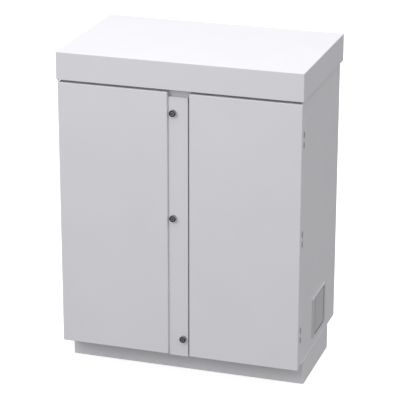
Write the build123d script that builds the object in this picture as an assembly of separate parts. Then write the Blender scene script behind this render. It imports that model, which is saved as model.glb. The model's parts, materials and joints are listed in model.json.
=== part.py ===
from build123d import *
import os

# Roadside utility cabinet, in millimetres.
# Z is up, the doors face -Y, and the origin is the middle of the plinth's base on the ground.

# Cabinet body
body_width = 1000
body_depth = 584.5
sheet = 2
bend_inside = 1
overrun = 5
side_flange = 46
back_flange = 25
cheek_clearance = 3

# Plinth
plinth_height = 112
plinth_setback = 106.5
plinth_back_setback = 89
plinth_side_setback = 2.5
plinth_sheet = 3
plinth_corner = 6
plinth_top_flange = 30
plinth_foot_flange = 45
anchor_inset = 24
anchor_hole_radius = 7
plinth_bolt_end = 101.5
plinth_bolt_inset = 18
plinth_bolt_radius = 5
plinth_bolt_flats = 17
plinth_bolt_head = 6.4
plinth_bolt_drop = 9

# Doors, hung on the outer edges
door_height = 1108.5
door_depth = 30
door_drop = 7.5
door_lip = 30
door_gap = 2
left_door_reach = 456
stiffener_width = 90
stiffener_crown = 40
stiffener_slope = 5
stiffener_depth = 20
stiffener_inset = 40

# Lock strip, carried by the left door, and the gap to the right door
strip_width = 82
strip_recess = 12
strip_top_drop = 19.5
strip_foot_drop = 6
parting_gap = 8
meeting_seal_clearance = 1
meeting_seal_depth = 8
meeting_seal_inset = 4
meeting_seal_round = 2.6

# Header and sill rails and the seal on the frame
header_cover = 58
sill_cover = 50
rail_lip = 6
rail_flange = 30
seal_width = 18
seal_inset = 10
seal_clearance = 0.4

# Roof hood
hood_lift = 11
hood_height = 112.5
hood_side_overhang = 5
hood_front_overhang = 1
hood_back_overhang = 34.5
roof_stud_radius = 4
roof_stud_clearance = 0.5
roof_stud_drop = 14
roof_stud_side_inset = 150
roof_stud_rail_gap = 24
roof_stud_back_inset = 86
roof_nut_flats = 13
roof_nut_height = 6.5

# Door hinges
hinge_pitch = 408
hinge_drop = 2.75
hinge_axis_inset = 0.5
knuckle_radius = 3.5
hinge_pin_radius = 2
hinge_pin_head_radius = 3
hinge_pin_head = 1
hinge_fit = 0.05
outer_knuckle = 23
middle_knuckle = 17
knuckle_gap = 0.5
leaf_thickness = 2
leaf_reach = 28
hinge_notch_clearance = 1.5
leaf_notch_clearance = 0.5

# Locks
lock_left_inset = 21.5
lock_right_inset = 20
top_lock_drop = 65
bottom_lock_rise = 77.5
middle_lock_share = 0.5425
lock_head_radius = 13
lock_head_height = 16
lock_head_chamfer = 1
lock_recess_radius = 8.5
lock_recess_depth = 7
lock_shank_radius = 9
lock_hole_clearance = 0.2
lock_nut_flats = 26
lock_nut_height = 6
spindle_radius = 6
spindle_fit = 0.05
spindle_collar_radius = 8.2
spindle_collar = 3
spindle_square = 8
spindle_thread_radius = 4
drive_radius = 5.5
drive_height = 3.5
cam_thickness = 3
cam_width = 18
cam_clearance = 2
cam_play = 0.3
cam_catch = 25
cam_nut_flats = 13
cam_nut_height = 5
thread_end = 1.5

# Keeper on the right door
keeper_base = 12
keeper_hook = 22
keeper_height = 40
keeper_clearance = 1
cam_tip_clearance = 4

# Cable hatch in the right side
hatch_width = 198
hatch_height = 173
hatch_offset = 10
hatch_middle = 246
hatch_proud = 6.5
hatch_border = 5.5
hatch_side_border = 29
hatch_corner = 7
hatch_edge_round = 5
hatch_stop = 9
flap_gap = 4
flap_sheet = 1.5
flap_recess = 0.5
flap_rest = 0.6
flap_knuckle_radius = 2.5
flap_knuckle_gap = 3
hatch_pin_radius = 1.2
hatch_pin_seat = 6
hatch_seal_depth = 6
hatch_seal_clearance = 0.5

# Backboard and its fixings
board_side_margin = 58
board_foot = 200
board_top_margin = 74
board_depth = 16
board_standoff = 30
standoff_radius = 8
board_fix_inset = 60
board_screw_radius = 3
board_screw_depth = 12
board_screw_head_radius = 5.5
board_screw_head = 4

# Earth bar
earth_bar_length = 300
earth_bar_height = 25
earth_bar_thickness = 5
earth_bar_rise = 40
earth_post_radius = 7
earth_post_length = 18
earth_post_share = 0.8
earth_screw_count = 7
earth_screw_radius = 3
earth_screw_flats = 10
earth_screw_head = 4
earth_screw_share = 0.6

# Cable rail
cable_rail_width = 41
cable_rail_height = 21
cable_rail_rise = 80
cable_rail_board_gap = 91.5

# Gland plate in the floor
gland_opening_width = 600
gland_opening_depth = 240
gland_lap = 20
gland_thickness = 3
gland_columns = 3
gland_rows = 2
gland_pitch_x = 180
gland_pitch_y = 110
gland_hole_radius = 16
blank_fit = 0.1
blank_flange = 4
blank_top = 2
blank_tail = 2

# Back panel screws
back_screw_rows = 6
back_screw_end = 60
back_screw_inset = 14
back_screw_radius = 2.5
back_screw_head_radius = 5
back_screw_head = 2.5
back_screw_tail = 4

# Places worked out from the sizes above
bend = sheet + bend_inside
half_width = body_width / 2
plinth_half_width = half_width - plinth_side_setback
plinth_half_depth = (body_depth - plinth_setback - plinth_back_setback) / 2
door_front = -plinth_half_depth - plinth_setback
back_face = door_front + body_depth
back_inner = back_face - sheet
door_back = door_front + door_depth
frame_front = door_back + door_gap
floor_top = plinth_height + sheet
door_bottom = plinth_height - door_drop
door_top = door_bottom + door_height
door_middle = (door_bottom + door_top) / 2
hood_bottom = door_top + hood_lift
hood_top = hood_bottom + hood_height
ceiling = hood_top - sheet
wall_top = ceiling - sheet
opening_half = half_width - side_flange
header_bottom = door_top - header_cover
sill_top = door_bottom + sill_cover

left_door_edge = left_door_reach - half_width
strip_right = left_door_edge + strip_width
right_door_edge = strip_right + parting_gap
strip_face = door_front + strip_recess
strip_back = strip_face + sheet
strip_top = door_top - strip_top_drop
strip_bottom = door_bottom - strip_foot_drop

hinge_x = half_width - hinge_axis_inset
hinge_y = (door_back + frame_front) / 2
hinge_half = middle_knuckle / 2 + knuckle_gap + outer_knuckle
hinge_middle_z = door_middle - hinge_drop
hinge_places = {
    "top": hinge_middle_z + hinge_pitch,
    "middle": hinge_middle_z,
    "bottom": hinge_middle_z - hinge_pitch,
}
leaf_outer = half_width - sheet
leaf_inner = leaf_outer - leaf_thickness
notch_half = knuckle_radius + hinge_notch_clearance

cam_front = frame_front + rail_lip + cam_clearance
cam_back = cam_front + cam_thickness
keeper_web = right_door_edge + door_lip - keeper_base
lock_left_x = left_door_edge + lock_left_inset
lock_right_x = strip_right - lock_right_inset
top_lock_z = strip_top - top_lock_drop
middle_lock_z = strip_bottom + (strip_top - strip_bottom) * middle_lock_share
bottom_lock_z = strip_bottom + bottom_lock_rise
# Each lock: its place on the strip, how far its cam reaches, and the cam's angle when unlocked
locks = {
    "top": (lock_left_x, top_lock_z, header_bottom + cam_catch - top_lock_z, 180),
    "middle": (lock_left_x, middle_lock_z, keeper_web - cam_tip_clearance - lock_left_x, 90),
    "bottom": (lock_right_x, bottom_lock_z, bottom_lock_z - sill_top + cam_catch, 180),
}

nodes = {}


# A box between two corners
def slab(x0, x1, y0, y1, z0, z1):
    return Pos((x0 + x1) / 2, (y0 + y1) / 2, (z0 + z1) / 2) * Box(x1 - x0, y1 - y0, z1 - z0)


# A sheet folded along a line of corners on its outer face, with the inside on the left
def folded(corners, thickness):
    line = FilletPolyline(*corners, radius=bend)
    return make_face(offset(line, thickness, side=Side.LEFT, closed=True).edges())


# A section drawn in X and Y, pulled up between two heights
def pull_up(section, z0, z1):
    return extrude(Plane.XY.offset(z0) * section, amount=z1 - z0)


# An outline drawn in X and Z, pulled back between two depths
def pull_back(outline, y0, y1):
    return extrude(Plane.XZ.offset(-y0) * outline, amount=y0 - y1)


# A section drawn in Y and Z, pulled across between two places along X
def pull_across(section, x0, x1):
    return extrude(Plane.YZ.offset(x0) * section, amount=x1 - x0)


def rod_up(x, y, z0, z1, radius):
    return pull_up(Pos(x, y) * Circle(radius), z0, z1)


def rod_back(x, z, y0, y1, radius):
    return pull_back(Pos(x, z) * Circle(radius), y0, y1)


def hexagon(flats):
    return RegularPolygon(flats / 2, 6, major_radius=False, rotation=30)


# Plinth: one folded ring with flanges turned in at the top and at the foot
def plinth_frame():
    half_x = plinth_half_width
    half_y = plinth_half_depth
    ring = slab(-half_x, half_x, -half_y, half_y, 0, plinth_height)
    ring = fillet(ring.edges().filter_by(Axis.Z), plinth_corner)
    inner_x = half_x - plinth_sheet
    inner_y = half_y - plinth_sheet
    hollow = slab(-inner_x, inner_x, -inner_y, inner_y, plinth_sheet, plinth_height - plinth_sheet)
    ring -= fillet(hollow.edges().filter_by(Axis.Z), plinth_corner - plinth_sheet)
    top_x = half_x - plinth_top_flange
    top_y = half_y - plinth_top_flange
    ring -= slab(-top_x, top_x, -top_y, top_y, plinth_height / 2, plinth_height + overrun)
    foot_x = half_x - plinth_foot_flange
    foot_y = half_y - plinth_foot_flange
    ring -= slab(-foot_x, foot_x, -foot_y, foot_y, -overrun, plinth_height / 2)
    anchor_x = half_x - anchor_inset
    anchor_y = half_y - anchor_inset
    for x in (-anchor_x, anchor_x):
        for y in (-anchor_y, anchor_y):
            ring -= rod_up(x, y, -overrun, plinth_sheet + overrun, anchor_hole_radius)
    for x, y in plinth_bolt_places():
        ring -= rod_up(x, y, plinth_height / 2, plinth_height + overrun, plinth_bolt_radius)
    return ring


def plinth_bolt_places():
    y = plinth_half_depth - plinth_bolt_inset
    x = plinth_half_width - plinth_bolt_end
    return [(-x, -y), (x, -y), (-x, y), (x, y)]


# Hexagon bolts that hold the body down on the plinth's top flange
def plinth_bolts():
    bolts = Part()
    foot = plinth_height - plinth_sheet
    for x, y in plinth_bolt_places():
        bolt = rod_up(x, y, foot - plinth_bolt_drop, floor_top, plinth_bolt_radius)
        bolt += pull_up(Pos(x, y) * hexagon(plinth_bolt_flats), floor_top, floor_top + plinth_bolt_head)
        bolt += pull_up(Pos(x, y) * hexagon(plinth_bolt_flats), foot - plinth_bolt_head, foot)
        bolts += bolt
    return bolts


# Floor sheet of the body, open under the gland plate
def floor_plate():
    plate = slab(-half_width, half_width, frame_front, back_face, plinth_height, floor_top)
    half_x = gland_opening_width / 2
    half_y = gland_opening_depth / 2
    plate -= slab(-half_x, half_x, -half_y, half_y, plinth_height - overrun, floor_top + overrun)
    for x, y in plinth_bolt_places():
        plate -= rod_up(x, y, plinth_height - overrun, floor_top + overrun, plinth_bolt_radius)
    return plate


def gland_places():
    return GridLocations(gland_pitch_x, gland_pitch_y, gland_columns, gland_rows)


# Plate over the floor opening, with round cable entries
def gland_plate():
    outline = Rectangle(gland_opening_width + 2 * gland_lap, gland_opening_depth + 2 * gland_lap)
    outline -= gland_places() * Circle(gland_hole_radius)
    return pull_up(outline, floor_top, floor_top + gland_thickness)


# Rubber plugs that close the cable entries
def gland_blanks():
    top = floor_top + gland_thickness
    flange = gland_hole_radius + blank_flange
    plug_radius = gland_hole_radius - blank_fit
    section = Polyline(
        (0, floor_top - blank_tail),
        (plug_radius - blank_tail, floor_top - blank_tail),
        (plug_radius, floor_top),
        (plug_radius, top),
        (flange, top),
        (flange - blank_top, top + blank_top),
        (0, top + blank_top),
        close=True,
    )
    plug = revolve(Plane.XZ * make_face(section), Axis.Z)
    return Part() + [place * plug for place in gland_places()]


# Side wall folded into a channel: a wide flange behind the door's edge, a narrow one at the back,
# and a cheek over the door's top that closes the end of the gap under the hood
def side_wall():
    corners = [
        (opening_half, frame_front),
        (half_width, frame_front),
        (half_width, back_inner),
        (half_width - back_flange, back_inner),
    ]
    wall = pull_up(folded(corners, sheet), floor_top, wall_top)
    wall += slab(
        half_width - sheet, half_width,
        door_front + cheek_clearance, frame_front + 2 * bend,
        door_top + cheek_clearance, wall_top,
    )
    for z in hinge_places.values():
        wall -= hinge_notch(z)
    for x, z in back_screw_places():
        if x > 0:
            wall -= rod_back(x, z, back_inner - sheet - overrun, back_inner + overrun, back_screw_radius)
    return wall


# The hinge barrel's clearance through the door's edge and the wall's edge
def hinge_notch(z):
    reach = hinge_half + hinge_pin_head + knuckle_gap
    inner = leaf_inner - leaf_notch_clearance
    return slab(
        inner, half_width + overrun,
        hinge_y - notch_half, hinge_y + notch_half,
        z - reach, z + reach,
    )


def right_side_panel():
    half_y = hatch_width / 2 - hatch_side_border - hatch_stop
    half_z = hatch_height / 2 - hatch_border - hatch_stop
    window = slab(
        leaf_inner, half_width + overrun,
        hatch_offset - half_y, hatch_offset + half_y,
        hatch_middle - half_z, hatch_middle + half_z,
    )
    return side_wall() - window


def left_side_panel():
    return mirror(side_wall(), about=Plane.YZ)


def back_screw_places():
    x = half_width - back_screw_inset
    first = floor_top + back_screw_end
    step = (wall_top - floor_top - 2 * back_screw_end) / (back_screw_rows - 1)
    heights = [first + row * step for row in range(back_screw_rows)]
    return [(side * x, z) for side in (-1, 1) for z in heights]


def back_panel():
    panel = slab(-half_width, half_width, back_inner, back_face, floor_top, wall_top)
    for x, z in back_screw_places():
        panel -= rod_back(x, z, back_inner - overrun, back_face + overrun, back_screw_radius)
    return panel


# Pan-head screws that hold the back panel to the walls' flanges
def back_panel_screws():
    tip = back_inner - sheet - back_screw_tail
    section = Polyline(
        (0, tip),
        (back_screw_radius, tip),
        (back_screw_radius, back_face),
        (back_screw_head_radius, back_face),
        (back_screw_head_radius - back_screw_head / 2, back_face + back_screw_head),
        (0, back_face + back_screw_head),
        close=True,
    )
    screw = revolve(make_face(section), Axis.Y)
    return Part() + [Pos(x, 0, z) * screw for x, z in back_screw_places()]


# Rail over the doorway: top flange, deep front face and a narrow lip
def header_rail():
    corners = [
        (frame_front + rail_flange, wall_top),
        (frame_front, wall_top),
        (frame_front, header_bottom),
        (frame_front + rail_lip, header_bottom),
    ]
    return pull_across(folded(corners, sheet), -opening_half, opening_half)


# Rail under the doorway: narrow lip, front face and a flange on the floor
def sill_rail():
    corners = [
        (frame_front + rail_lip, sill_top),
        (frame_front, sill_top),
        (frame_front, floor_top),
        (frame_front + rail_flange, floor_top),
    ]
    return pull_across(folded(corners, sheet), -opening_half, opening_half)


# Foam seal round the doorway, under the doors' lips
def frame_seal():
    seal_front = door_back + seal_clearance
    outer_x = half_width - seal_inset
    low = door_bottom + seal_inset
    high = door_top - seal_inset
    ring = slab(-outer_x, outer_x, seal_front, frame_front, low, high)
    inner_x = outer_x - seal_width
    gap = slab(
        -inner_x, inner_x,
        seal_front - overrun, frame_front + overrun,
        low + seal_width, high - seal_width,
    )
    return ring - gap


def roof_stud_places():
    x = half_width - roof_stud_side_inset
    front = frame_front + rail_flange + roof_stud_rail_gap
    back = back_face - roof_stud_back_inset
    return [(-x, front), (x, front), (-x, back), (x, back)]


def top_panel():
    panel = slab(-half_width, half_width, frame_front, back_face, wall_top, ceiling)
    for x, y in roof_stud_places():
        panel -= rod_up(x, y, wall_top - overrun, ceiling + overrun, roof_stud_radius + roof_stud_clearance)
    return panel


# Roof: a deep cap with a skirt all round, and studs under it
def roof_hood():
    half_x = half_width + hood_side_overhang
    front = door_front - hood_front_overhang
    back = back_face + hood_back_overhang
    cap = slab(-half_x, half_x, front, back, hood_bottom, hood_top)
    cap = fillet(cap.edges() - cap.edges().group_by(Axis.Z)[0], bend)
    hollow = slab(
        -half_x + sheet, half_x - sheet,
        front + sheet, back - sheet,
        hood_bottom - overrun, ceiling,
    )
    cap -= fillet(hollow.edges() - hollow.edges().group_by(Axis.Z)[0], bend_inside)
    for x, y in roof_stud_places():
        cap += rod_up(x, y, ceiling - roof_stud_drop, ceiling, roof_stud_radius)
    return cap


def roof_nuts():
    outline = hexagon(roof_nut_flats) - Circle(roof_stud_radius)
    places = roof_stud_places()
    return Part() + [pull_up(Pos(x, y) * outline, wall_top - roof_nut_height, wall_top) for x, y in places]


# Door: a folded pan with a lip turned in all round its back
def door_pan(x0, x1):
    pan = slab(x0, x1, door_front, door_back, door_bottom, door_top)
    pan = fillet(pan.edges(), bend)
    hollow = slab(
        x0 + sheet, x1 - sheet,
        door_front + sheet, door_back - sheet,
        door_bottom + sheet, door_top - sheet,
    )
    pan -= fillet(hollow.edges(), bend_inside)
    mouth = slab(
        x0 + door_lip, x1 - door_lip,
        door_back - door_depth / 2, door_back + overrun,
        door_bottom + door_lip, door_top - door_lip,
    )
    return pan - mouth


def right_door():
    pan = door_pan(right_door_edge, half_width)
    for z in hinge_places.values():
        pan -= hinge_notch(z)
    return pan


def left_door():
    pan = door_pan(-half_width, left_door_edge)
    for z in hinge_places.values():
        pan -= mirror(hinge_notch(z), about=Plane.YZ)
    return pan


# Top-hat stiffener down the inside of a door
def stiffener(middle):
    face = door_front + sheet
    crown = face + stiffener_depth - sheet
    brim = stiffener_width / 2
    top = stiffener_crown / 2
    corners = [
        (middle - brim, face),
        (middle - top - stiffener_slope, face),
        (middle - top, crown),
        (middle + top, crown),
        (middle + top + stiffener_slope, face),
        (middle + brim, face),
    ]
    return pull_up(folded(corners, sheet), door_bottom + stiffener_inset, door_top - stiffener_inset)


# Channel between the doors that holds the locks, set back from the door faces
def lock_strip():
    corners = [
        (left_door_edge, door_back),
        (left_door_edge, strip_face),
        (strip_right, strip_face),
        (strip_right, door_back),
    ]
    strip = pull_up(folded(corners, sheet), strip_bottom, strip_top)
    hole_radius = lock_shank_radius + lock_hole_clearance
    for x, z, reach, angle in locks.values():
        strip -= rod_back(x, z, strip_face - overrun, strip_back + overrun, hole_radius)
    return strip


# Rubber bead on the right door's edge, rounded where it meets the strip
def meeting_seal():
    tip = strip_right + meeting_seal_clearance
    y1 = door_back - meeting_seal_inset
    y0 = y1 - meeting_seal_depth
    bead = slab(tip, right_door_edge, y0, y1, door_bottom + bend, strip_top)
    return fillet(bead.edges().filter_by(Axis.Z).group_by(Axis.X)[0], meeting_seal_round)


# Lock housing, turned: head, shank and a recess round the key drive
def lock_housing(x, z):
    front = strip_face - lock_head_height
    back = cam_front - cam_play
    bore = spindle_radius + spindle_fit
    section = Polyline(
        (bore, back),
        (lock_shank_radius, back),
        (lock_shank_radius, strip_face),
        (lock_head_radius, strip_face),
        (lock_head_radius, front + lock_head_chamfer),
        (lock_head_radius - lock_head_chamfer, front),
        (lock_recess_radius, front),
        (lock_recess_radius, front + lock_recess_depth),
        (bore, front + lock_recess_depth),
        close=True,
    )
    return Pos(x, 0, z) * revolve(make_face(section), Axis.Y)


def lock_fixing_nuts():
    outline = hexagon(lock_nut_flats) - Circle(lock_shank_radius)
    nuts = Part()
    for x, z, reach, angle in locks.values():
        nuts += pull_back(Pos(x, z) * outline, strip_back, strip_back + lock_nut_height)
    return nuts


# Turning core of a lock: three-sided key drive, collar, shaft, square and thread
def lock_spindle(x, z):
    seat = strip_face - lock_head_height + lock_recess_depth - spindle_fit
    collar = seat - spindle_collar
    end = cam_back + cam_nut_height + thread_end
    section = Polyline(
        (0, collar),
        (spindle_collar_radius, collar),
        (spindle_collar_radius, seat),
        (spindle_radius, seat),
        (spindle_radius, cam_front),
        (spindle_thread_radius, cam_front),
        (spindle_thread_radius, end),
        (0, end),
        close=True,
    )
    core = Pos(x, 0, z) * revolve(make_face(section), Axis.Y)
    core += pull_back(Pos(x, z) * RegularPolygon(drive_radius, 3), collar - drive_height, collar)
    core += pull_back(Pos(x, z) * Rectangle(spindle_square, spindle_square), cam_front, cam_back)
    return core


# Flat cam on the spindle's square, reaching to one side
def lock_cam(x, z, reach, angle):
    arm = reach - cam_width / 2
    outline = Pos(arm / 2, 0) * SlotCenterToCenter(arm, cam_width)
    hole = spindle_square + 2 * spindle_fit
    outline = Rot(0, 0, angle) * outline - Rectangle(hole, hole)
    return pull_back(Pos(x, z) * outline, cam_front, cam_back)


def lock_cam_nut(x, z):
    outline = hexagon(cam_nut_flats) - Circle(spindle_thread_radius)
    return pull_back(Pos(x, z) * outline, cam_back, cam_back + cam_nut_height)


# Hook behind the middle lock's cam, on the right door's lip
def door_keeper():
    hook = cam_back + keeper_clearance
    corners = [
        (keeper_web - keeper_hook, hook),
        (keeper_web, hook),
        (keeper_web, door_back),
        (keeper_web + keeper_base, door_back),
    ]
    half = keeper_height / 2
    return pull_up(folded(corners, sheet), middle_lock_z - half, middle_lock_z + half)


# Hinge leaf on the wall: two outer knuckles
def frame_leaf(z):
    low = z - hinge_half
    high = z + hinge_half
    leaf = slab(leaf_inner, leaf_outer, hinge_y, hinge_y + leaf_reach, low, high)
    leaf += rod_up(hinge_x, hinge_y, low, high, knuckle_radius)
    half = middle_knuckle / 2 + knuckle_gap
    leaf -= slab(
        leaf_inner - overrun, half_width + overrun,
        hinge_y - notch_half, hinge_y + notch_half,
        z - half, z + half,
    )
    return leaf - rod_up(hinge_x, hinge_y, low - overrun, high + overrun, hinge_pin_radius + hinge_fit)


# Hinge leaf on the door: one middle knuckle
def door_leaf(z):
    low = z - hinge_half
    high = z + hinge_half
    half = middle_knuckle / 2
    leaf = slab(leaf_inner, leaf_outer, hinge_y - leaf_reach, hinge_y - notch_half, low, high)
    leaf += slab(leaf_inner, leaf_outer, hinge_y - notch_half, hinge_y, z - half, z + half)
    leaf += rod_up(hinge_x, hinge_y, z - half, z + half, knuckle_radius)
    return leaf - rod_up(hinge_x, hinge_y, low - overrun, high + overrun, hinge_pin_radius + hinge_fit)


# Headed pins through the knuckles
def hinge_pins():
    pins = Part()
    for z in hinge_places.values():
        pin = rod_up(hinge_x, hinge_y, z - hinge_half, z + hinge_half, hinge_pin_radius)
        head = z + hinge_half
        pin += rod_up(hinge_x, hinge_y, head, head + hinge_pin_head, hinge_pin_head_radius)
        pins += pin
    return pins


def hatch_mouth():
    return Rectangle(hatch_width - 2 * hatch_side_border, hatch_height - 2 * hatch_border)


# Raised frame of the cable hatch, with seats for the flap's pin
def hatch_frame():
    outline = RectangleRounded(hatch_width, hatch_height, hatch_corner)
    outline -= hatch_mouth()
    frame = pull_across(Pos(hatch_offset, hatch_middle) * outline, half_width, half_width + hatch_proud)
    outer_edges = frame.faces().sort_by(Axis.X)[-1].outer_wire().edges()
    frame = fillet(outer_edges, hatch_edge_round)
    return frame - hatch_pin_rod(hatch_pin_radius + hinge_fit)


def flap_axis():
    x = half_width + hatch_proud - flap_recess - flap_knuckle_radius
    z = hatch_middle + hatch_height / 2 - hatch_border - flap_knuckle_gap - flap_knuckle_radius
    return x, z


def hatch_pin_rod(radius):
    x, z = flap_axis()
    half = hatch_width / 2 - hatch_side_border + hatch_pin_seat
    section = Plane.XZ.offset(half - hatch_offset) * Pos(x, z) * Circle(radius)
    return extrude(section, amount=-2 * half)


# Flap: a shallow pan hung from a rolled edge along its top
def hatch_flap():
    x, z = flap_axis()
    front = half_width + hatch_proud - flap_recess
    back = half_width + flap_rest
    half_y = hatch_width / 2 - hatch_side_border - flap_gap
    foot = hatch_middle - hatch_height / 2 + hatch_border + flap_gap
    pan = slab(back, front, hatch_offset - half_y, hatch_offset + half_y, foot, z)
    pan -= slab(
        back - overrun, front - flap_sheet,
        hatch_offset - half_y + flap_sheet, hatch_offset + half_y - flap_sheet,
        foot + flap_sheet, z + overrun,
    )
    roll = Plane.XZ.offset(half_y - hatch_offset) * Pos(x, z) * Circle(flap_knuckle_radius)
    pan += extrude(roll, amount=-2 * half_y)
    return pan - hatch_pin_rod(hatch_pin_radius + hinge_fit)


# Rubber strip in the groove round the flap
def hatch_seal():
    x, z = flap_axis()
    half_y = hatch_width / 2 - hatch_side_border - flap_gap + hatch_seal_clearance
    foot = hatch_middle - hatch_height / 2 + hatch_border + flap_gap - hatch_seal_clearance
    face = half_width + hatch_seal_depth
    strip = pull_across(Pos(hatch_offset, hatch_middle) * hatch_mouth(), half_width, face)
    strip -= slab(
        half_width - overrun, face + overrun,
        hatch_offset - half_y, hatch_offset + half_y,
        foot, z + flap_knuckle_radius + hatch_seal_clearance,
    )
    return strip - hatch_pin_rod(hatch_pin_radius + hinge_fit)


def board_front():
    return back_inner - board_standoff - sheet


# Backboard: a tray with its edges folded back
def backboard():
    half_x = half_width - board_side_margin
    front = board_front()
    top = wall_top - board_top_margin
    tray = slab(-half_x, half_x, front, front + board_depth, board_foot, top)
    tray = fillet(tray.edges().group_by(Axis.Y)[0], bend)
    tray -= slab(
        -half_x + sheet, half_x - sheet,
        front + sheet, front + board_depth + overrun,
        board_foot + sheet, top - sheet,
    )
    for x, z in board_fixings():
        tray -= rod_back(x, z, front - overrun, front + sheet + overrun, board_screw_radius)
    return tray


def board_fixings():
    x = half_width - board_side_margin - board_fix_inset
    low = board_foot + board_fix_inset
    high = wall_top - board_top_margin - board_fix_inset
    return [(-x, low), (x, low), (-x, high), (x, high)]


def backboard_standoffs():
    seat = board_front() + sheet
    posts = Part()
    for x, z in board_fixings():
        post = rod_back(x, z, seat, back_inner, standoff_radius)
        posts += post - rod_back(x, z, seat, seat + board_screw_depth, board_screw_radius)
    return posts


def backboard_screws():
    front = board_front()
    screws = Part()
    for x, z in board_fixings():
        screw = rod_back(x, z, front, front + sheet + board_screw_depth, board_screw_radius)
        screws += screw + rod_back(x, z, front - board_screw_head, front, board_screw_head_radius)
    return screws


def earth_bar_place():
    back = board_front() - earth_post_length
    return board_foot + earth_bar_rise, back - earth_bar_thickness, back


def earth_screw_places():
    span = earth_bar_length * earth_screw_share
    step = span / (earth_screw_count - 1)
    return [index * step - span / 2 for index in range(earth_screw_count)]


# Earth bar: a flat bar with a row of tapped holes
def earth_bar():
    z, front, back = earth_bar_place()
    bar = pull_back(Pos(0, z) * Rectangle(earth_bar_length, earth_bar_height), front, back)
    for x in earth_screw_places():
        bar -= rod_back(x, z, front - overrun, back + overrun, earth_screw_radius)
    return bar


def earth_bar_posts():
    z, front, back = earth_bar_place()
    x = earth_bar_length * earth_post_share / 2
    return Part() + [rod_back(side * x, z, back, board_front(), earth_post_radius) for side in (-1, 1)]


def earth_bar_screws():
    z, front, back = earth_bar_place()
    screws = Part()
    for x in earth_screw_places():
        screw = rod_back(x, z, front, back, earth_screw_radius)
        screws += screw + pull_back(Pos(x, z) * hexagon(earth_screw_flats), front - earth_screw_head, front)
    return screws


# Rail across the cabinet that the cables are tied to
def cable_rail():
    low = floor_top + cable_rail_rise
    high = low + cable_rail_height
    back = board_front() - cable_rail_board_gap
    front = back - cable_rail_width
    corners = [
        (front, high),
        (front, low),
        (back, low),
        (back, high),
    ]
    return pull_across(folded(corners, sheet), -leaf_outer, leaf_outer)


# Body
nodes["plinth_frame"] = plinth_frame()
nodes["plinth_bolts"] = plinth_bolts()
nodes["floor_plate"] = floor_plate()
nodes["gland_plate"] = gland_plate()
nodes["gland_blanks"] = gland_blanks()
nodes["left_side_panel"] = left_side_panel()
nodes["right_side_panel"] = right_side_panel()
nodes["back_panel"] = back_panel()
nodes["back_panel_screws"] = back_panel_screws()
nodes["header_rail"] = header_rail()
nodes["sill_rail"] = sill_rail()
nodes["frame_seal"] = frame_seal()
nodes["top_panel"] = top_panel()
nodes["roof_hood"] = roof_hood()
nodes["roof_nuts"] = roof_nuts()
nodes["hatch_frame"] = hatch_frame()
nodes["hatch_pin"] = hatch_pin_rod(hatch_pin_radius)
nodes["hatch_seal"] = hatch_seal()

# Equipment inside
nodes["backboard"] = backboard()
nodes["backboard_standoffs"] = backboard_standoffs()
nodes["backboard_screws"] = backboard_screws()
nodes["earth_bar"] = earth_bar()
nodes["earth_bar_posts"] = earth_bar_posts()
nodes["earth_bar_screws"] = earth_bar_screws()
nodes["cable_rail"] = cable_rail()

# Doors and hatch
nodes["left_door"] = left_door()
nodes["right_door"] = right_door()
nodes["left_door_stiffener"] = stiffener((left_door_edge - half_width) / 2)
nodes["right_door_stiffener"] = stiffener((right_door_edge + half_width) / 2)
nodes["lock_strip"] = lock_strip()
nodes["lock_fixing_nuts"] = lock_fixing_nuts()
nodes["meeting_seal"] = meeting_seal()
nodes["door_keeper"] = door_keeper()
nodes["hatch_flap"] = hatch_flap()

# Hinges
nodes["right_hinge_pins"] = hinge_pins()
nodes["left_hinge_pins"] = mirror(hinge_pins(), about=Plane.YZ)
for height, z in hinge_places.items():
    nodes[f"right_frame_leaf_{height}"] = frame_leaf(z)
    nodes[f"left_frame_leaf_{height}"] = mirror(frame_leaf(z), about=Plane.YZ)
    nodes[f"right_door_leaf_{height}"] = door_leaf(z)
    nodes[f"left_door_leaf_{height}"] = mirror(door_leaf(z), about=Plane.YZ)

# Locks
for height, (x, z, reach, angle) in locks.items():
    nodes[f"{height}_lock_housing"] = lock_housing(x, z)
    nodes[f"{height}_lock_spindle"] = lock_spindle(x, z)
    nodes[f"{height}_lock_cam"] = lock_cam(x, z, reach, angle)
    nodes[f"{height}_lock_cam_nut"] = lock_cam_nut(x, z)

os.makedirs("parts", exist_ok=True)
for name, shape in nodes.items():
    export_step(shape, f"parts/{name}.step")
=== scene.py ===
import json
import math
import bmesh
import bpy
from mathutils import Matrix, Vector


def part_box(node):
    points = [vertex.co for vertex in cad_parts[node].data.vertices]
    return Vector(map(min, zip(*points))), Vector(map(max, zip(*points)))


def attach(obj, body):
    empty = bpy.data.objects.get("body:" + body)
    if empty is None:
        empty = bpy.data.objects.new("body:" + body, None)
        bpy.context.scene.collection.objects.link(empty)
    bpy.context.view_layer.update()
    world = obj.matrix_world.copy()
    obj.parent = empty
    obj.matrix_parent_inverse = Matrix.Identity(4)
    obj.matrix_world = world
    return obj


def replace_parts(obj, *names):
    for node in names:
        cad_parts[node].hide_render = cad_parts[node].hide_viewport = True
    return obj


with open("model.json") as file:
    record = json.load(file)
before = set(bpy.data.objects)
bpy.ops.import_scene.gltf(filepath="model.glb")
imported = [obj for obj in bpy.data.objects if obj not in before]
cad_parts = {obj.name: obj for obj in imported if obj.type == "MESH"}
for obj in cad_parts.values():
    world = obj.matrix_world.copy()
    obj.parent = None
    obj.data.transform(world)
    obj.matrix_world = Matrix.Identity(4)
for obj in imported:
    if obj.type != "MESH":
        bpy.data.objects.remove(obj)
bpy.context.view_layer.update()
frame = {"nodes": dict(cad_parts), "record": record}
parts = frame["nodes"]
slotOf = {row["node"]: row["material_slot"] for row in frame["record"]["subparts"]}
bodyOf = {part: body for body, group in frame["record"]["behaviour"]["bodies"].items() for part in group}
lockHeights = ("top", "middle", "bottom")
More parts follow.
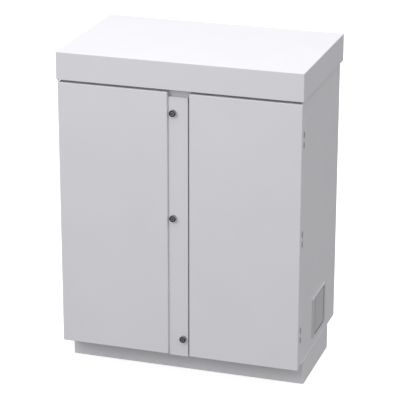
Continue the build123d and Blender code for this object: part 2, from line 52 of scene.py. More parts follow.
frontward, backward, upward, downward = (0, -1, 0), (0, 1, 0), (0, 0, 1), (0, 0, -1)


# short hands for shader nodes: wire() fills a node's inputs, put() adds a node
def wire(tree, node, inputs):
    for key, value in inputs.items():
        if isinstance(value, bpy.types.NodeSocket):
            tree.links.new(value, node.inputs[key])
        else:
            node.inputs[key].default_value = value


def put(tree, kind, inputs, **settings):
    node = tree.nodes.new("ShaderNode" + kind)
    for key, value in settings.items():
        setattr(node, key, value)
    wire(tree, node, inputs)
    return node


def onPart(tree, stretch=(1, 1, 1)):
    place = put(tree, "TexCoord", {}).outputs["Object"]     # metres, and moves with the part
    return put(tree, "Mapping", {"Vector": place, "Scale": stretch}).outputs["Vector"]


def grain(tree, scale, detail=2.0, stretch=(1, 1, 1)):
    noise = put(tree, "TexNoise", {"Vector": onPart(tree, stretch), "Scale": scale, "Detail": detail})
    return noise.outputs["Fac"]


def cells(tree, scale):
    return put(tree, "TexVoronoi", {"Vector": onPart(tree), "Scale": scale}).outputs


def tint(tree, amount, dark, pale, low=0.3, high=0.7):
    ramp = put(tree, "ValToRGB", {"Fac": amount})
    darkStop, paleStop = ramp.color_ramp.elements
    darkStop.position = low
    paleStop.position = high
    darkStop.color = (*dark, 1)
    paleStop.color = (*pale, 1)
    return ramp.outputs["Color"]


def span(tree, amount, low, high):
    return put(tree, "MapRange", {"Value": amount, "To Min": low, "To Max": high}).outputs["Result"]


def relief(tree, height, depth, strength, under=None):
    inputs = {"Height": height, "Distance": depth, "Strength": strength}
    if under:
        inputs["Normal"] = under
    return put(tree, "Bump", inputs).outputs["Normal"]


def newFinish(name, look):
    finish = bpy.data.materials.new(name)
    finish.use_nodes = True
    shader = finish.node_tree.nodes["Principled BSDF"]
    wire(finish.node_tree, shader, look["shader"])
    return finish, finish.node_tree, shader


# one pattern sets colour and roughness; the relief follows it, or a finer skin where there is one
def patterned(name, look):
    finish, tree, shader = newFinish(name, look)
    tone = grain(tree, look["scale"], look["detail"], look["stretch"])
    skin = grain(tree, look["skinScale"]) if "skinScale" in look else tone
    wire(tree, shader, {
        "Base Color": tint(tree, tone, look["dark"], look["pale"]),
        "Roughness": span(tree, tone, look["roughLow"], look["roughHigh"]),
        "Normal": relief(tree, skin, look["depth"], look["strength"]),
    })
    return finish


# satin powder coat: faint cloudiness, orange peel and a fine sparkle of texture
powderCoat = {
    "shader": {"IOR": 1.5, "Specular IOR Level": 0.45},
    "pale": (0.772, 0.765, 0.803), "dark": (0.752, 0.745, 0.782), "cloudScale": 5.0, "cloudDetail": 5.0,
    "roughLow": 0.40, "roughHigh": 0.52, "roughScale": 38.0, "roughDetail": 4.0,
    "peelScale": 330.0, "peelDepth": 0.00007, "peelStrength": 0.35,
    "speckScale": 1500.0, "speckDepth": 0.00002, "speckStrength": 0.25, "fineDetail": 1.0,
}

# the hatch and its flap are coated darker than the cabinet, in two near shades
hatchCoat = dict(powderCoat, pale=(0.570, 0.566, 0.590), dark=(0.554, 0.550, 0.574))
flapCoat = dict(powderCoat, pale=(0.582, 0.578, 0.600), dark=(0.565, 0.561, 0.583))


def coated(name, look):
    finish, tree, shader = newFinish(name, look)
    clouds = grain(tree, look["cloudScale"], look["cloudDetail"])
    patches = grain(tree, look["roughScale"], look["roughDetail"])
    orangePeel = grain(tree, look["peelScale"], look["fineDetail"])
    specks = grain(tree, look["speckScale"], look["fineDetail"])
    peel = relief(tree, orangePeel, look["peelDepth"], look["peelStrength"])
    wire(tree, shader, {
        "Base Color": tint(tree, clouds, look["dark"], look["pale"]),
        "Roughness": span(tree, patches, look["roughLow"], look["roughHigh"]),
        "Normal": relief(tree, specks, look["speckDepth"], look["speckStrength"], peel),
    })
    return finish


# hot-dip zinc: crystals a centimetre or two across, each a little lighter or duller than the next
zincSpangle = {
    "shader": {"Metallic": 0.9}, "crystalScale": 75.0, "dullScale": 9.0, "dullDetail": 4.0,
    "dark": (0.40, 0.415, 0.43), "pale": (0.66, 0.67, 0.68), "tintRange": (0.0, 1.0),
    "roughLow": 0.34, "roughHigh": 0.58, "edgeDepth": 0.00004, "edgeStrength": 0.3,
}


def galvanisedSteel():
    look = zincSpangle
    finish, tree, shader = newFinish("galvanisedSteel", look)
    crystals = cells(tree, look["crystalScale"])
    shade = put(tree, "SeparateColor", {"Color": crystals["Color"]}).outputs["Red"]
    dullness = grain(tree, look["dullScale"], look["dullDetail"])
    wire(tree, shader, {
        "Base Color": tint(tree, shade, look["dark"], look["pale"], *look["tintRange"]),
        "Roughness": span(tree, dullness, look["roughLow"], look["roughHigh"]),
        "Normal": relief(tree, crystals["Distance"], look["edgeDepth"], look["edgeStrength"]),
    })
    return finish


# bright zinc on screws and nuts, with a faint warm and cool drift and rolled-in scratches
brightZinc = {
    "shader": {"Metallic": 1.0}, "driftScale": 60.0, "driftDetail": 3.0,
    "warm": (0.66, 0.645, 0.60), "cool": (0.62, 0.64, 0.67), "roughLow": 0.24, "roughHigh": 0.42,
    "scratchScale": 900.0, "scratchDetail": 3.0, "scratchStretch": (1, 1, 0.15),
    "scratchDepth": 0.00002, "scratchStrength": 0.3,
}


def zincFixing():
    look = brightZinc
    finish, tree, shader = newFinish("zincFixing", look)
    drift = grain(tree, look["driftScale"], look["driftDetail"])
    scratches = grain(tree, look["scratchScale"], look["scratchDetail"], look["scratchStretch"])
    wire(tree, shader, {
        "Base Color": tint(tree, drift, look["warm"], look["cool"]),
        "Roughness": span(tree, scratches, look["roughLow"], look["roughHigh"]),
        "Normal": relief(tree, scratches, look["scratchDepth"], look["scratchStrength"]),
    })
    return finish


# blackened steel of the locks: black to the front, flanks painted paler as a painted highlight, rubbed wear
# on both
blackenedSteel = {
    "shader": {"Metallic": 0.55}, "rubScale": 140.0, "rubDetail": 4.0,
    "faceDark": (0.014, 0.014, 0.015), "facePale": (0.034, 0.034, 0.035), "faceTurn": -0.9,
    # the paler flank colours are a painted highlight on faces turned aside from the front
    "litFlankDark": (0.22, 0.22, 0.225), "litFlankPale": (0.32, 0.32, 0.325), "litFlankTurn": -0.5,
    "roughLow": 0.30, "roughHigh": 0.48, "pitScale": 1300.0, "pitDepth": 0.00002, "pitStrength": 0.3,
}
mixFirst, mixSecond, mixResult = 6, 7, 2        # a Mix node's colour sockets, by place


def darkSteel():
    look = blackenedSteel
    finish, tree, shader = newFinish("darkSteel", look)
    rubbed = grain(tree, look["rubScale"], look["rubDetail"])
    pits = grain(tree, look["pitScale"])
    # painted highlight: the further a face turns from the front, the paler it is painted
    normal = put(tree, "TexCoord", {}).outputs["Normal"]
    turnedAway = put(tree, "SeparateXYZ", {"Vector": normal}).outputs["Y"]
    paintedLightShare = put(tree, "MapRange", {
        "Value": turnedAway, "From Min": look["faceTurn"], "From Max": look["litFlankTurn"],
    }).outputs["Result"]
    blend = put(tree, "Mix", {
        "Factor": paintedLightShare,
        mixFirst: tint(tree, rubbed, look["faceDark"], look["facePale"]),
        mixSecond: tint(tree, rubbed, look["litFlankDark"], look["litFlankPale"]),
    }, data_type="RGBA")
    wire(tree, shader, {
        "Base Color": blend.outputs[mixResult],
        "Roughness": span(tree, rubbed, look["roughHigh"], look["roughLow"]),       # rubbed spots shine
        "Normal": relief(tree, pits, look["pitDepth"], look["pitStrength"]),
    })
    return finish


# cast zinc of the lock spindles
castZinc = {
    "shader": {"Metallic": 0.9}, "scale": 420.0, "detail": 4.0, "stretch": (1, 1, 1),
    "dark": (0.42, 0.42, 0.43), "pale": (0.58, 0.58, 0.59),
    "roughLow": 0.32, "roughHigh": 0.5, "depth": 0.00004, "strength": 0.4,
}


# closed-cell foam with a skin of small bubble cells; each bubble's hollow is painted darker, a painted shade
cellFoam = {
    "shader": {"Specular IOR Level": 0.25}, "cellScale": 900.0, "cellDepth": 0.0003, "cellStrength": 0.6,
    # dark is the painted shade in the bubble hollows, pale the cell walls between them
    "dark": (0.50, 0.50, 0.515), "pale": (0.72, 0.72, 0.735), "tintRange": (0.0, 0.6),
    "roughLow": 0.8, "roughHigh": 0.95,
}


def greyFoam():
    look = cellFoam
    finish, tree, shader = newFinish("greyFoam", look)
    bubbleReliefAndShade = cells(tree, look["cellScale"])["Distance"]
    wire(tree, shader, {
        # the hollows are painted darker: painted shade that follows the relief
        "Base Color": tint(tree, bubbleReliefAndShade, look["dark"], look["pale"], *look["tintRange"]),
        "Roughness": span(tree, bubbleReliefAndShade, look["roughLow"], look["roughHigh"]),
        "Normal": relief(tree, bubbleReliefAndShade, look["cellDepth"], look["cellStrength"]),
    })
    return finish


# moulded rubber with a dry bloom: black plugs, and a greyer kind round the flap and in the parting gap
mouldedRubber = {
    "shader": {"Specular IOR Level": 0.35}, "scale": 45.0, "detail": 5.0, "stretch": (1, 1, 1),
    "dark": (0.016, 0.016, 0.017), "pale": (0.032, 0.032, 0.034), "roughLow": 0.55, "roughHigh": 0.75,
    "skinScale": 700.0, "depth": 0.00004, "strength": 0.3,
}
stripRubber = dict(mouldedRubber, dark=(0.040, 0.040, 0.041), pale=(0.066, 0.066, 0.068))

# drawn brass: fine lines along the bar
drawnBrass = {
    "shader": {"Metallic": 1.0}, "scale": 6.0, "detail": 3.0, "stretch": (1, 180, 180),
    "dark": (0.50, 0.34, 0.11), "pale": (0.66, 0.48, 0.19),
    "roughLow": 0.22, "roughHigh": 0.4, "depth": 0.00003, "strength": 0.35,
}

# moulded red-brown insulators, with faint flow marks
mouldedPost = {
    "shader": {"Specular IOR Level": 0.5}, "scale": 55.0, "detail": 4.0, "stretch": (1, 0.3, 1),
    "dark": (0.155, 0.024, 0.016), "pale": (0.205, 0.036, 0.024), "roughLow": 0.34, "roughHigh": 0.46,
    "skinScale": 800.0, "depth": 0.00003, "strength": 0.25,
}

finishes = {
    "grey_paint": coated("greyPaint", powderCoat),
    "hatch_paint": coated("hatchPaint", hatchCoat),
    "flap_paint": coated("flapPaint", flapCoat),
    "galvanised_steel": galvanisedSteel(),
    "zinc_fixing": zincFixing(),
    "dark_steel": darkSteel(),
    "lock_core": patterned("lockCore", castZinc),
    "grey_foam": greyFoam(),
    "black_rubber": patterned("blackRubber", mouldedRubber),
    "grey_rubber": patterned("greyRubber", stripRubber),
    "brass_bar": patterned("brassBar", drawnBrass),
    "post_plastic": patterned("postPlastic", mouldedPost),
}
for name, part in parts.items():
    for place in part.material_slots:
        place.material = finishes[slotOf[name]]
print("finishes on:", len(finishes), "slots over", len(parts), "parts")


# shared by the added pieces: points in a ring, the crease angle in degrees, the least length that counts,
# and half the width of a driver's slot as a share of its reach
meshing = {"ringSteps": 36, "crease": 32, "tiny": 1e-6, "crossSlot": 0.3, "plainSlot": 0.2}
halfStep = math.pi / meshing["ringSteps"]


# outlines for turned shapes: a share of the radius for each angle
def flatSided(angle, sides):
    share = 2 * math.pi / sides
    return 1.0 / math.cos((angle - halfStep) % share - share / 2)       # corners fall on a ring's points


def hexEdge(angle):
    return flatSided(angle, 6)      # the radius reaches the flats


def triEdge(angle):
    return flatSided(angle, 3) * math.cos(math.pi / 3)      # the radius reaches the corners


def crossEdge(angle):
    along = max(abs(math.cos(angle)), abs(math.sin(angle)))
    across = max(min(abs(math.cos(angle)), abs(math.sin(angle))), meshing["tiny"])
    return min(1.0 / along, meshing["crossSlot"] / across)


def slotEdge(angle):
    along = max(abs(math.cos(angle)), meshing["tiny"])
    across = max(abs(math.sin(angle)), meshing["tiny"])
    return min(1.0 / along, meshing["plainSlot"] / across)


# rings of points joined in order, one for each (radius, height), with an outline where it isn't round
def turned(shape, profile, place, steps=meshing["ringSteps"], closed=False):
    rings = []
    for radius, height, *outline in profile:
        ring = []
        for step in range(steps if radius else 1):
            angle = 2 * math.pi * (step + 0.5) / steps
            reach = radius * outline[0](angle) if outline else radius
            spot = Vector((reach * math.cos(angle), reach * math.sin(angle), height))
            ring.append(shape.verts.new(place @ spot))
        rings.append(ring)
    pairs = list(zip(rings, rings[1:]))
    if closed:
        pairs.append((rings[-1], rings[0]))
    for first, second in pairs:
        for step in range(steps):
            here = [ring[step % len(ring)] for ring in (first, second)]
            there = [ring[(step + 1) % len(ring)] for ring in (second, first)]
            corners = list(dict.fromkeys(here + there))
            if len(corners) > 2:
                shape.faces.new(corners)


# walls between two loops of points
def joinLoops(shape, first, second):
    for here in range(len(first)):
        there = (here + 1) % len(first)
        shape.faces.new((first[here], first[there], second[there], second[here]))


# a frame with mitred corners: a loop of points at each corner, joined all the way round
def mitredFrame(shape, corners):
    loops = [[shape.verts.new(spot) for spot in corner] for corner in corners]
    for first, second in zip(loops, loops[1:] + loops[:1]):
        joinLoops(shape, first, second)


# a straight bar: the same loop of points at both ends, with a face over each
def straightBar(shape, ends):
    loops = [[shape.verts.new(spot) for spot in end] for end in ends]
    joinLoops(shape, *loops)
    for loop in loops:
        shape.faces.new(loop)


def meshFrom(name, shape):
    mesh = bpy.data.meshes.new(name)
    shape.to_mesh(mesh)
    shape.free()
    return mesh


def newObject(name, data):
    added = bpy.data.objects.new(name, data)
    bpy.context.scene.collection.objects.link(added)
    return added


# a piece made by the given function, which rides a body and wears its slot's finish
def newPiece(name, body, slotName, build):
    shape = bmesh.new()
    build(shape)
    bmesh.ops.recalc_face_normals(shape, faces=shape.faces)
    mesh = meshFrom(name, shape)
    mesh.shade_smooth()
    mesh.set_sharp_from_angle(angle=math.radians(meshing["crease"]))
    mesh.materials.append(finishes[slotName])
    piece = newObject(name, mesh)
    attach(piece, body)
    return piece


# the floor sweeps up into a backdrop far away; it is seen, catches shadow and throws no light back
studioFloor = {
    "radius": 16.0, "curve": 5.0, "wall": 14.0, "steps": 96, "curveSteps": 10,
    "pale": (0.62, 0.62, 0.625), "dark": (0.60, 0.60, 0.605), "mottleScale": 0.6, "mottleDetail": 4.0,
    "shader": {
        "Roughness": 0.9, "Specular IOR Level": 0.0,
        "Emission Color": (1, 1, 1, 1), "Emission Strength": 0.70,
    },
}


def floorAndBackdrop():
    look = studioFloor
    radius, curve = look["radius"], look["curve"]
    profile = [(0.0, 0.0), (radius, 0.0)]
    for step in range(1, look["curveSteps"] + 1):
        turn = math.pi / 2 * step / look["curveSteps"]
        profile.append((radius + curve * math.sin(turn), curve * (1 - math.cos(turn))))
    profile.append((radius + curve, look["wall"]))
    shape = bmesh.new()
    turned(shape, profile, Matrix(), look["steps"])
    floor = newObject("studioFloor", meshFrom("studioFloor", shape))
    finish, tree, shader = newFinish("paleFloor", look)
    mottle = grain(tree, look["mottleScale"], look["mottleDetail"])
    wire(tree, shader, {"Base Color": tint(tree, mottle, look["dark"], look["pale"])})
    floor.data.materials.append(finish)
    floor.visible_diffuse = False
    floor.visible_glossy = False
    floor.visible_shadow = False


floorAndBackdrop()
print("floor laid")


# the box of each separate solid in a part
def solidBoxes(name):
    shape = bmesh.new()
    shape.from_mesh(parts[name].data)
    bmesh.ops.remove_doubles(shape, verts=shape.verts, dist=meshing["tiny"])
    boxes = []
    seen = set()
    for seed in shape.verts:
        if seed in seen:
            continue
        seen.add(seed)
        island = [seed]
        for vert in island:
            for edge in vert.link_edges:
                other = edge.other_vert(vert)
                if other not in seen:
                    seen.add(other)
                    island.append(other)
        low = Vector([min(vert.co[axis] for vert in island) for axis in range(3)])
        high = Vector([max(vert.co[axis] for vert in island) for axis in range(3)])
        boxes.append((low, high))
    shape.free()
    return boxes


# the middle of a box, with one of its x, y and z set to a face
def middleOf(box, **face):
    spot = (box[0] + box[1]) / 2
    for axis, value in face.items():
        setattr(spot, axis, value)
    return spot


def middlesOf(name, **face):
    return [middleOf(box, **face) for box in solidBoxes(name)]


# a place at the spot, with its own Z along the given way
def facing(spot, along, turn=0.0):
    swing = Vector(along).to_track_quat("Z", "Y").to_matrix().to_4x4()
    return Matrix.Translation(spot) @ swing @ Matrix.Rotation(turn, 4, "Z")


# a thread as rings: each row goes from its root to a crest, and the last one ends on a root
def threadRows(root, crest, start, end, pitch):
    rows = max(round((end - start) / pitch), 1)
    step = (end - start) / rows
    profile = []
    for row in range(rows):
        profile.append((root, start + row * step))
        profile.append((crest, start + (row + 0.5) * step))     # halfway to the next root
    return profile + [(root, end)]


# pan-head screws on plain washers; crown and rim are shares of the head's radius and height
panelScrew = {
    "washer": 0.0062, "washerThick": 0.0008, "head": 0.0050, "rise": 0.0026, "crown": 0.62, "rim": 0.3,
    "domeSteps": 4, "recess": 0.0027, "recessDeep": 0.0015,
    "core": 0.0021, "thread": 0.0025, "pitch": 0.0011, "shank": 0.008, "turnStep": 0.9,
}
boardScrew = dict(
    panelScrew, washer=0.0078, washerThick=0.0010, head=0.0056, rise=0.0032, recess=0.0031, turnStep=1.3)
glandScrew = dict(panelScrew, washer=0.0056, head=0.0045, rise=0.0023, recess=0.0024, turnStep=0.7)
glandScrews = {"inset": 0.010, "alongX": 5, "alongY": 2}


def panScrew(shape, look, place):
    seat = look["washerThick"]
    top = seat + look["rise"]
    sunk = top - look["recessDeep"]
    profile = [(0, -look["shank"])]
    profile += threadRows(look["core"], look["thread"], -look["shank"], 0, look["pitch"])
    profile += [(look["washer"], 0), (look["washer"], seat), (look["head"], seat)]
    for step in range(look["domeSteps"] + 1):
        bend = math.pi / 2 * step / look["domeSteps"]
        reach = look["crown"] + (1 - look["crown"]) * math.cos(bend)
        rise = look["rim"] + (1 - look["rim"]) * math.sin(bend)
        profile.append((look["head"] * reach, seat + look["rise"] * rise))
    profile += [(look["recess"], top, crossEdge), (look["recess"], sunk, crossEdge), (0, sunk)]
    turned(shape, profile, place)


def screwRow(name, look, spots, along):
    def build(shape):
        for count, spot in enumerate(spots):
            panScrew(shape, look, facing(spot, along, count * look["turnStep"]))
    return newPiece(name, "cabinet_body", "zinc_fixing", build)


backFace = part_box("back_panel")[1].y
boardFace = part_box("backboard")[0].y
glandLow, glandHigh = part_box("gland_plate")
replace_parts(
    screwRow("backPanelScrews", panelScrew, middlesOf("back_panel_screws", y=backFace), backward),
    "back_panel_screws")
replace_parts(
    screwRow("backboardScrews", boardScrew, middlesOf("backboard_screws", y=boardFace), frontward),
    "backboard_screws")


def glandScrewSpots():
    look = glandScrews
    low = glandLow + Vector((look["inset"], look["inset"], 0))
    high = glandHigh - Vector((look["inset"], look["inset"], 0))
    spots = []
    for count in range(look["alongX"]):
        x = low.x + (high.x - low.x) * count / (look["alongX"] - 1)
        spots += [Vector((x, low.y, high.z)), Vector((x, high.y, high.z))]
    for count in range(1, look["alongY"]):
        y = low.y + (high.y - low.y) * count / look["alongY"]
        spots += [Vector((low.x, y, high.z)), Vector((high.x, y, high.z))]
    return spots


plateScrew = dict(glandScrew, shank=glandHigh.z - glandLow.z)       # ends flush under the plate
screwRow("glandPlateScrews", plateScrew, glandScrewSpots(), upward)
print("screws driven")


# hexagon nuts with turned chamfers, and bolts with washers; face is the chamfer circle's share of the flats
lockNut = {"bore": 0.00902, "chamfer": 0.0008, "face": 0.96}
camNut = {"bore": 0.00402, "chamfer": 0.0005, "face": 0.95}
roofNut = {
    "bore": 0.00402, "chamfer": 0.0006, "face": 0.95,
    "thread": 0.0043, "pitch": 0.00125, "threadLong": 0.0054,
}
plinthBolt = {
    "flange": 0.003, "washer": 0.0105, "washerThick": 0.0016, "chamfer": 0.0009, "face": 0.94,
    "core": 0.0045, "thread": 0.0050, "pitch": 0.0015,
}


def hexNut(shape, look, place, flats, tall):
    reach, bore, cut = flats / 2, look["bore"], look["chamfer"]
    face = reach * look["face"]
    turned(shape, [
        (bore + cut, 0), (face, 0), (reach, cut, hexEdge), (reach, tall - cut, hexEdge),
        (face, tall), (bore + cut, tall), (bore, tall - cut), (bore, cut),
    ], place, closed=True)


def hexHead(look, reach, tall):
    thick, cut, face = look["washerThick"], look["chamfer"], reach * look["face"]
    return [
        (look["washer"], 0), (look["washer"], thick), (face, thick),
        (reach, thick + cut, hexEdge), (reach, tall - cut, hexEdge), (face, tall),
    ]


def backFacingNut(shape, look, low, high):
    flats = min(high.x - low.x, high.z - low.z)
    hexNut(shape, look, facing(middleOf((low, high), y=low.y), backward), flats, high.y - low.y)


def lockNuts(shape):
    for low, high in solidBoxes("lock_fixing_nuts"):
        backFacingNut(shape, lockNut, low, high)


def roofNuts(shape):
    look = roofNut
    for low, high in solidBoxes("roof_nuts"):
        tall = high.z - low.z
        end = tall + look["threadLong"]
        place = facing(middleOf((low, high), z=high.z), downward)
        hexNut(shape, look, place, min(high.x - low.x, high.y - low.y), tall)
        rows = threadRows(look["bore"], look["thread"], tall, end, look["pitch"])
        turned(shape, rows + [(0, end)], place)


def plinthBolts(shape):
    look = plinthBolt
    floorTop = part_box("floor_plate")[1].z
    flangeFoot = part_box("floor_plate")[0].z - look["flange"]
    for low, high in solidBoxes("plinth_bolts"):
        reach = min(high.x - low.x, high.y - low.y) / 2
        tall = high.z - floorTop
        for seat, along, shank in ((floorTop, upward, 0), (flangeFoot, downward, flangeFoot - low.z)):
            profile = [(0, 0)] + hexHead(look, reach, tall)
            if shank:
                profile += threadRows(look["core"], look["thread"], tall, shank, look["pitch"])
            profile.append((0, profile[-1][1]))
            turned(shape, profile, facing(middleOf((low, high), z=seat), along))


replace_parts(newPiece("lockNuts", "left_door_body", "zinc_fixing", lockNuts), "lock_fixing_nuts")
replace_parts(newPiece("roofNuts", "cabinet_body", "zinc_fixing", roofNuts), "roof_nuts")
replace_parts(newPiece("plinthBolts", "cabinet_body", "zinc_fixing", plinthBolts), "plinth_bolts")
for height in lockHeights:
    node = height + "_lock_cam_nut"
    nut = newPiece(
        height + "LockCamNut", bodyOf[node], "zinc_fixing",
        lambda shape: backFacingNut(shape, camNut, *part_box(node)))
    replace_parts(nut, node)
print("nuts and bolts done")


# the lock shanks are threaded behind their nuts
shankThread = {"crest": 0.0093, "root": 0.0089, "pitch": 0.0015}


def shankThreads(shape):
    look = shankThread
    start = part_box("lock_fixing_nuts")[1].y
    for height in lockHeights:
        low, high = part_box(height + "_lock_housing")
        rows = threadRows(look["root"], look["crest"], 0, high.y - start, look["pitch"])
        turned(shape, rows, facing(middleOf((low, high), y=start), backward), closed=True)


newPiece("lockShankThreads", "left_door_body", "dark_steel", shankThreads)


# a blackened triangle caps each key drive
keyDrive = {"reach": 0.0058, "tall": 0.0036, "proud": 0.0003, "chamfer": 0.0007, "turn": -halfStep}


def keyDriveCap(shape, name):
    look = keyDrive
    low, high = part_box(name)
    reach, tall, cut = look["reach"], look["tall"], look["chamfer"]
    spot = middleOf((low, high), y=low.y - look["proud"] + tall)
    turned(shape, [
        (0, 0), (reach, 0, triEdge), (reach, tall - cut, triEdge), (reach - cut, tall, triEdge), (0, tall),
    ], facing(spot, frontward, look["turn"]))


for height in lockHeights:
    node = height + "_lock_spindle"
    newPiece(height + "KeyDrive", bodyOf[node], "dark_steel", lambda shape: keyDriveCap(shape, node))


# small heads, given as (radius, rise) from the rim inward and closed at both ends
def headProfile(points):
    return [(0, 0), *points, (0, points[-1][1])]


# spot welds down both brims of each door stiffener: a raised lip round a flat, pressed middle
spotWeld = {
    "brimMiddle": 0.010, "sheet": 0.002, "endInset": 0.035, "pitch": 0.095, "steps": 20,
    "lip": [(0.0034, 0), (0.0031, 0.00022), (0.0025, 0.00025), (0.0021, 0.00010)],
}


def stiffenerWelds(shape, name):
    look = spotWeld
    low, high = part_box(name)
    run = high.z - low.z - 2 * look["endInset"]
    rows = round(run / look["pitch"])
    profile = headProfile(look["lip"])
    for x in (low.x + look["brimMiddle"], high.x - look["brimMiddle"]):
        for row in range(rows + 1):
            spot = (x, low.y + look["sheet"], low.z + look["endInset"] + row * (run / rows))
            turned(shape, profile, facing(spot, backward), look["steps"])


for side in ("left", "right"):
    node = side + "_door_stiffener"
    newPiece(side + "StiffenerWelds", bodyOf[node], "grey_paint", lambda shape: stiffenerWelds(shape, node))


# two blind rivets hold the keeper to the door's lip, with the snapped stem showing in each head
keeperRivet = {
    "edge": 0.0045, "end": 0.009, "sheet": 0.002, "steps": 24,
    "dome": [(0.0031, 0), (0.0030, 0.0004), (0.0024, 0.0009), (0.0013, 0.0011), (0.0011, 0.0006)],
}


def keeperRivets(shape):
    look = keeperRivet
    low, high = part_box("door_keeper")
    profile = headProfile(look["dome"])
    for z in (low.z + look["end"], high.z - look["end"]):
        spot = (high.x - look["edge"], low.y + look["sheet"], z)
        turned(shape, profile, facing(spot, backward), look["steps"])


newPiece("keeperRivets", bodyOf["door_keeper"], "zinc_fixing", keeperRivets)
print("locks, welds and rivets done")


# rubber plugs: a rolled flange round stepped rings that are cut out to suit a cable
cablePlug = {
    "face": [
        (0, 0.0012), (0.0048, 0.0012), (0.0052, 0.0007), (0.0060, 0.0007), (0.0064, 0.0014),
        (0.0100, 0.0014), (0.0104, 0.0009), (0.0112, 0.0009), (0.0116, 0.0017),
        (0.0150, 0.0020), (0.0180, 0.0019), (0.0194, 0.0013), (0.0200, 0.0004), (0.0199, 0),
    ],
    "neck": [
        (0.0157, 0), (0.0157, -0.0032), (0.0162, -0.0036), (0.0158, -0.0046), (0.0142, -0.0050), (0, -0.0050),
    ],
    "steps": 48,
}


def cablePlugs(shape):
    look = cablePlug
    for spot in middlesOf("gland_blanks", z=glandHigh.z):
        turned(shape, look["face"] + look["neck"], facing(spot, upward), look["steps"])


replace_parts(newPiece("cablePlugs", "cabinet_body", "black_rubber", cablePlugs), "gland_blanks")


# ribbed insulators behind the earth bar
barPost = {"ribs": 3, "waist": 0.0052, "edge": 0.0008, "steps": 40}


def barPosts(shape):
    look = barPost
    for low, high in solidBoxes("earth_bar_posts"):
        reach, tall = (high.x - low.x) / 2, high.y - low.y
        bay = tall / (2 * look["ribs"] - 1)
        profile = [(0, 0)]
        for rib in range(look["ribs"]):
            foot = 2 * rib * bay
            profile += [
                (look["waist"] if rib else reach, foot), (reach, foot + look["edge"]),
                (reach, foot + bay - look["edge"]),
                (reach if rib == look["ribs"] - 1 else look["waist"], foot + bay),
            ]
        profile.append((0, tall))
        turned(shape, profile, facing(middleOf((low, high), y=high.y), frontward), look["steps"])


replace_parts(newPiece("barPosts", "cabinet_body", "post_plastic", barPosts), "earth_bar_posts")


# clamp screws along the earth bar: slotted hexagon heads on captive washers
clampScrew = {
    "washer": 0.0060, "washerThick": 0.0010, "chamfer": 0.0005, "face": 0.95,
    "slot": 0.0036, "slotDeep": 0.0016, "shank": 0.0060, "core": 0.0030, "turnStep": 1.1,
}
postScrew = dict(panelScrew, washer=0.0066, washerThick=0.0010, head=0.0050, shank=0.004, turnStep=0.6)
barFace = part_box("earth_bar")[0].y


def clampScrews(shape):
    look = clampScrew
    for count, (low, high) in enumerate(solidBoxes("earth_bar_screws")):
        tall = barFace - low.y
        sunk = tall - look["slotDeep"]
        reach = min(high.x - low.x, high.z - low.z) / 2
        spot = middleOf((low, high), y=barFace)
        turned(shape, [
            (0, -look["shank"]), (look["core"], -look["shank"]), (look["core"], 0),
            *hexHead(look, reach, tall),
            (look["slot"], tall, slotEdge), (look["slot"], sunk, slotEdge), (0, sunk),
        ], facing(spot, frontward, count * look["turnStep"]))


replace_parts(newPiece("clampScrews", "cabinet_body", "zinc_fixing", clampScrews), "earth_bar_screws")
screwRow("barPostScrews", postScrew, middlesOf("earth_bar_posts", y=barFace), frontward)
print("earth bar and plugs done")


# foam round the doorway: a flat strip with rounded shoulders, mitred at the corners
doorSeal = {"width": 0.018, "shoulder": 0.0009, "shoulderSteps": 4}


def doorSealFoam(shape):
    look = doorSeal
    low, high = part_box("frame_seal")
    radius = look["shoulder"]
    spring = high.y - low.y - radius        # the shoulders start to round here
    section = [(0, 0)]
    for start, centre in ((math.pi, radius), (math.pi / 2, look["width"] - radius)):
        for step in range(look["shoulderSteps"] + 1):
            angle = start - math.pi / 2 * step / look["shoulderSteps"]
            section.append((centre + radius * math.cos(angle), spring + radius * math.sin(angle)))
    section.append((look["width"], 0))
    left, right, foot, head = (low.x, 1), (high.x, -1), (low.z, 1), (high.z, -1)    # edges, and the way in
    mitredFrame(shape, [
        [(x + inX * inward, high.y - proud, z + inZ * inward) for inward, proud in section]
        for (x, inX), (z, inZ) in ((left, foot), (right, foot), (right, head), (left, head))
    ])


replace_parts(newPiece("doorSealFoam", "cabinet_body", "grey_foam", doorSealFoam), "frame_seal")


# a rounded rubber bead on the strip round the flap, its crown just below the hatch's face
hatchBead = {"clear": 0.0005, "sunk": 0.0003, "below": 0.00002, "domeSteps": 12}


def hatchSealBead(shape):
    look = hatchBead
    low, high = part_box("hatch_seal")
    flapLow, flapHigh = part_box("hatch_flap")
    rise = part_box("hatch_frame")[1].x - look["below"] - high.x
    section = [(0.0, -look["sunk"])]
    for step in range(look["domeSteps"] + 1):
        angle = math.pi * step / look["domeSteps"]
        section.append(((1 - math.cos(angle)) / 2, rise * math.sin(angle)))
    section.append((1.0, -look["sunk"]))
    front = (low.y, flapLow.y - look["clear"])
    back = (high.y, flapHigh.y + look["clear"])
    foot = (low.z, flapLow.z - look["clear"])
    head = (high.z, flapHigh.z + look["clear"])
    mitredFrame(shape, [
        [
            (high.x + proud, outY + (inY - outY) * share, outZ + (inZ - outZ) * share)
            for share, proud in section
        ]
        for (outY, inY), (outZ, inZ) in ((front, foot), (back, foot), (back, head), (front, head))
    ])


newPiece("hatchSealBead", bodyOf["hatch_seal"], "grey_rubber", hatchSealBead)


# the parting gap's rubber profile: a foot on the door's edge, a waist, and a rounded nose with a groove
meetingBead = {
    "foot": 0.0014, "waist": 0.0006, "waistLong": 0.0008, "round": 0.0026, "roundSteps": 6,
    "groove": 0.0006, "grooveDeep": 0.0004,
}


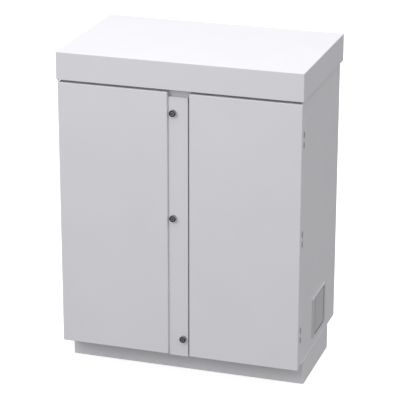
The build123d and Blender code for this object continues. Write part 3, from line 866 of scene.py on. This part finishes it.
def meetingSealBead(shape):
    look = meetingBead
    low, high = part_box("meeting_seal")
    middle, half, reach = (low.y + high.y) / 2, (high.y - low.y) / 2, high.x - low.x
    foot, radius, groove = look["foot"], look["round"], look["groove"]
    neck = foot + look["waistLong"]
    thin = half - look["waist"]
    side = [(0, half), (foot, half), (foot, thin), (neck, thin), (neck, half)]
    for step in range(look["roundSteps"] + 1):
        angle = math.pi / 2 * step / look["roundSteps"]
        side.append((reach - radius + radius * math.sin(angle), half - radius + radius * math.cos(angle)))
    side += [(reach, groove), (reach - look["grooveDeep"], groove / 2)]
    outline = [(high.x - out, middle - across) for out, across in side]
    outline += [(high.x - out, middle + across) for out, across in reversed(side)]
    straightBar(shape, [[(x, y, z) for x, y in outline] for z in (low.z, high.z)])


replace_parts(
    newPiece("meetingSealBead", bodyOf["meeting_seal"], "grey_rubber", meetingSealBead),
    "meeting_seal")


# a thin rolled lip along the foot of each side wall; it starts behind the open doors' edges
footLip = {"proud": 0.0009, "front": 0.015, "roundSteps": 8}


def wallFootLips(shape):
    look = footLip
    low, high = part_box("floor_plate")
    middle, half = (low.z + high.z) / 2, (high.z - low.z) / 2
    for wall, out in ((low.x, -look["proud"]), (high.x, look["proud"])):
        outline = []
        for step in range(look["roundSteps"] + 1):
            angle = math.pi * (step / look["roundSteps"] - 0.5)     # from straight down to straight up
            outline.append((wall + out * math.cos(angle), middle + half * math.sin(angle)))
        straightBar(shape, [[(x, y, z) for x, z in outline] for y in (low.y + look["front"], high.y)])


newPiece("wallFootLips", bodyOf["floor_plate"], "grey_paint", wallFootLips)
print("door and hatch seals laid")


# soft studio light: a dome that is brightest overhead, a large key from the front left, a fill from the
# front right and a panel above
domeLight = {"below": 0.26, "belowStop": 0.47, "level": 0.44, "levelStop": 0.53, "overhead": 1.30}
lightPanels = {
    "keyPanel": {"place": (-1.3, -3.5, 2.9), "target": (-0.05, -0.2, 0.85), "size": 1.6, "watts": 36.5},
    "fillPanel": {"place": (1.9, -5.2, 2.2), "target": (0.0, -0.2, 0.6), "size": 1.2, "watts": 27.0},
    "topPanel": {"place": (0.0, 0.0, 4.2), "target": (0.0, 0.0, 0.0), "size": 3.0, "watts": 22.0},
}


def whiteLight(level):
    return (level, level, level, 1)


def dome():
    look = domeLight
    world = bpy.data.worlds.new("studioDome")
    world.use_nodes = True
    tree = world.node_tree
    outward = put(tree, "TexCoord", {}).outputs["Generated"]
    rise = put(tree, "SeparateXYZ", {"Vector": outward}).outputs["Z"]
    share = put(tree, "MapRange", {"Value": rise, "From Min": -1.0}).outputs["Result"]      # 0 straight down
    ramp = put(tree, "ValToRGB", {"Fac": share})
    stops = ramp.color_ramp.elements
    stops[0].color = whiteLight(look["below"])
    stops[1].color = whiteLight(look["overhead"])
    stops.new(look["belowStop"]).color = whiteLight(look["below"])
    stops.new(look["levelStop"]).color = whiteLight(look["level"])
    wire(tree, tree.nodes["Background"], {"Color": ramp.outputs["Color"]})
    bpy.context.scene.world = world


def lightPanel(name, look):
    light = bpy.data.lights.new(name, "AREA")
    light.size = look["size"]
    light.energy = look["watts"]
    panel = newObject(name, light)
    panel.location = look["place"]
    aim = Vector(look["target"]) - Vector(look["place"])
    panel.rotation_euler = aim.to_track_quat("-Z", "Y").to_euler()
    panel.visible_camera = False


dome()
for name, look in lightPanels.items():
    lightPanel(name, look)
print("lights on")


# the photograph's viewpoint: a long lens, from the front right and above
viewpoint = {
    "place": (2.2776, -7.0737, 3.3561), "azimuth": 17.8895, "elevation": 19.8655, "roll": 0.0571,
    "lens": 173.485,
}


def photoCamera():
    look = viewpoint
    lens = bpy.data.cameras.new("photoCamera")
    lens.lens = look["lens"]
    camera = newObject("photoCamera", lens)
    swing = Matrix.Rotation(math.radians(look["azimuth"]), 4, "Z")
    tilt = Matrix.Rotation(math.radians(90 - look["elevation"]), 4, "X")
    roll = Matrix.Rotation(math.radians(look["roll"]), 4, "Z")
    camera.matrix_world = Matrix.Translation(look["place"]) @ swing @ tilt @ roll
    bpy.context.scene.camera = camera


photoCamera()
bpy.context.scene.view_settings.view_transform = "Standard"
print("camera set")
